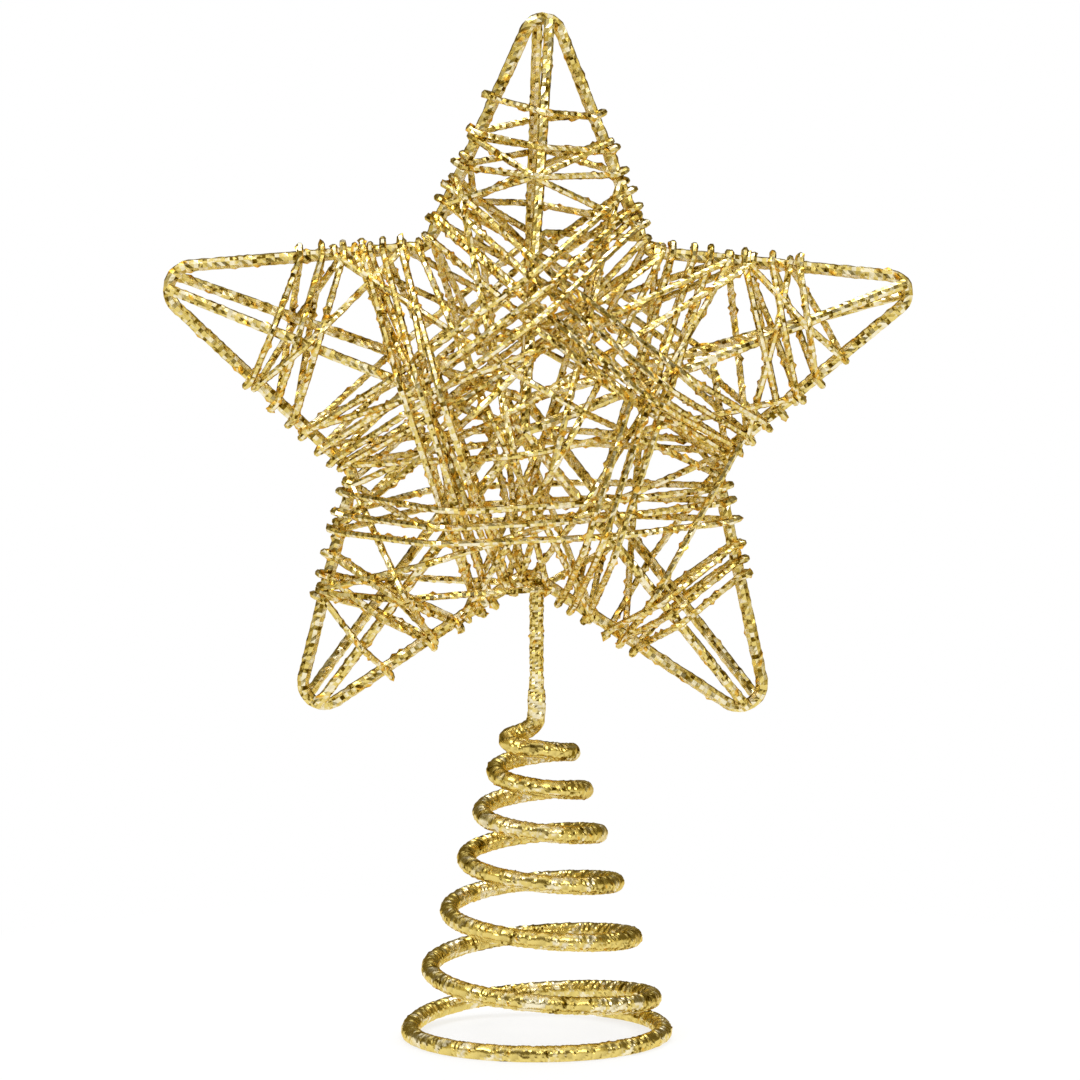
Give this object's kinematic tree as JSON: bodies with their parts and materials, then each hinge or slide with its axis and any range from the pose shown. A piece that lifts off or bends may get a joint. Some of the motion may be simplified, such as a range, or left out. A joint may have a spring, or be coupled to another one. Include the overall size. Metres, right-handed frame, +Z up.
{
  "type": "tree topper star",
  "caption": "Puffed wire star wound with tinsel-covered wire, on a short stem above a conical coil that slips over a tree's top shoot or stands on a table.",
  "frame": {"origin": "on the floor, under the axis of the coil and the stem, at the bottom centre of the box", "axes": "+Z up along the stem, +X to the viewer's right, -Y towards the viewer, so the star's flat plane is XZ"},
  "size_m": [0.1497, 0.056, 0.207],
  "materials": {
    "frame_gold": "steel wire wrapped in gold metallised film, finely dimpled",
    "winding_gold": "thin steel wire wrapped in gold metallised film",
    "coil_gold": "thick wire wrapped in overlapping bands of gold metallised film"
  },
  "bodies": {
    "base": {"coil_spring": "coil_gold"},
    "star": {"star_outline": "frame_gold", "front_rib_top": "frame_gold", "front_rib_left": "frame_gold", "front_rib_lower_left": "frame_gold", "front_rib_lower_right": "frame_gold", "front_rib_right": "frame_gold", "back_rib_top": "frame_gold", "back_rib_left": "frame_gold", "back_rib_lower_left": "frame_gold", "back_rib_lower_right": "frame_gold", "back_rib_right": "frame_gold", "point_winding_top": "winding_gold", "point_winding_left": "winding_gold", "point_winding_lower_left": "winding_gold", "point_winding_lower_right": "winding_gold", "point_winding_right": "winding_gold", "body_winding_upper_left": "winding_gold", "body_winding_lower_left": "winding_gold", "body_winding_bottom": "winding_gold", "body_winding_lower_right": "winding_gold", "body_winding_upper_right": "winding_gold", "stem": "coil_gold"}
  },
  "joints": [
    {"name": "coil_press", "type": "slide", "parent": "base", "child": "star", "axis": [0, 0, 1], "range_m": [-0.02, 0.008], "stiffness_N_per_m": 800, "springref_m": 0.0008, "deforming": ["coil_spring"]}
  ]
}
